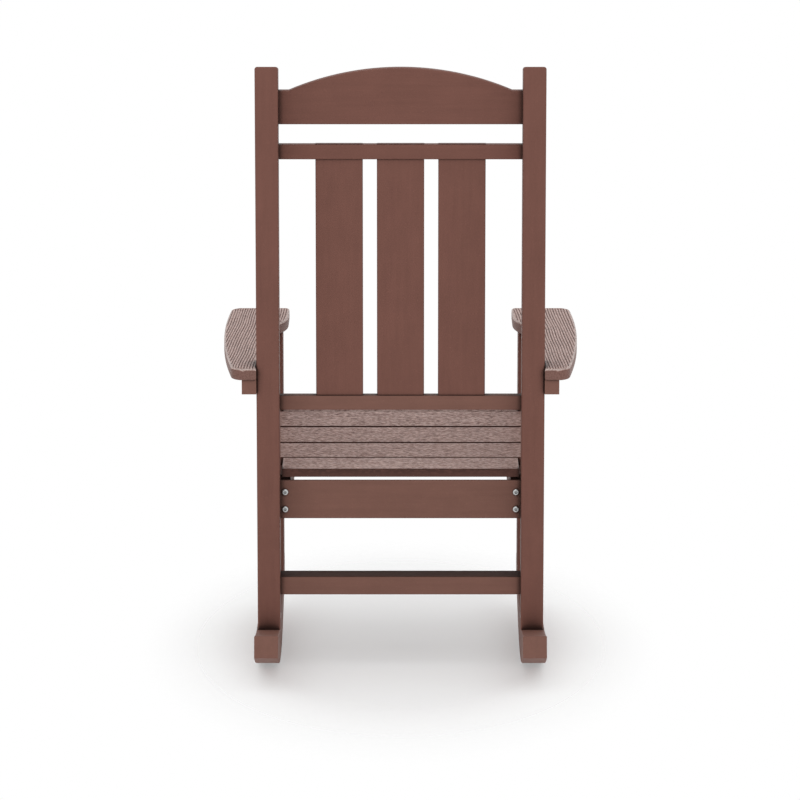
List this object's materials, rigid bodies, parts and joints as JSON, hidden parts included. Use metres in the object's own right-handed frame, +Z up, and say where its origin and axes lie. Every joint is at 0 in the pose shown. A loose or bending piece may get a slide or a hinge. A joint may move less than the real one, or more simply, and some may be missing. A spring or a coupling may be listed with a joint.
{
  "type": "outdoor rocking chair",
  "caption": "Porch rocking chair in solid plastic lumber: slatted back under an arched crest rail, contoured slat seat, broad curved arms and bowed rockers.",
  "frame": {"origin": "on the floor, under the middle of the chair's outline", "axes": "+Z up, the sitter faces -Y, +X to the sitter's left"},
  "size_m": [0.6876, 0.835, 1.1528],
  "materials": {
    "smooth_lumber": "matte mahogany brown, finely pebbled, sawn and eased edges",
    "grained_lumber": "matte mahogany brown with an embossed wood grain along the board",
    "stainless_steel": "plain stainless steel fasteners with hexagon sockets"
  },
  "bodies": {
    "root": {"arm_batten_bolts": "stainless_steel", "arm_batten_left": "smooth_lumber", "arm_batten_right": "smooth_lumber", "arm_left": "grained_lumber", "arm_right": "grained_lumber", "arm_screws": "stainless_steel", "back_frame_bolts": "stainless_steel", "back_slat_centre": "smooth_lumber", "back_slat_left": "smooth_lumber", "back_slat_right": "smooth_lumber", "crest_rail": "smooth_lumber", "cross_nuts": "stainless_steel", "front_apron": "smooth_lumber", "front_apron_screws": "stainless_steel", "front_leg_bolts": "stainless_steel", "front_leg_left": "smooth_lumber", "front_leg_right": "smooth_lumber", "lower_back_rail": "smooth_lumber", "rear_apron": "smooth_lumber", "rear_apron_screws": "stainless_steel", "rear_post_left": "smooth_lumber", "rear_post_right": "smooth_lumber", "rear_stretcher": "smooth_lumber", "rocker_bolts": "stainless_steel", "rocker_left": "smooth_lumber", "rocker_right": "smooth_lumber", "seat_side_rail_left": "smooth_lumber", "seat_side_rail_right": "smooth_lumber", "seat_slat_1": "grained_lumber", "seat_slat_2": "grained_lumber", "seat_slat_3": "grained_lumber", "seat_slat_4": "grained_lumber", "seat_slat_5": "grained_lumber", "seat_slat_screws": "stainless_steel", "upper_back_rail": "smooth_lumber"}
  },
  "joints": []
}
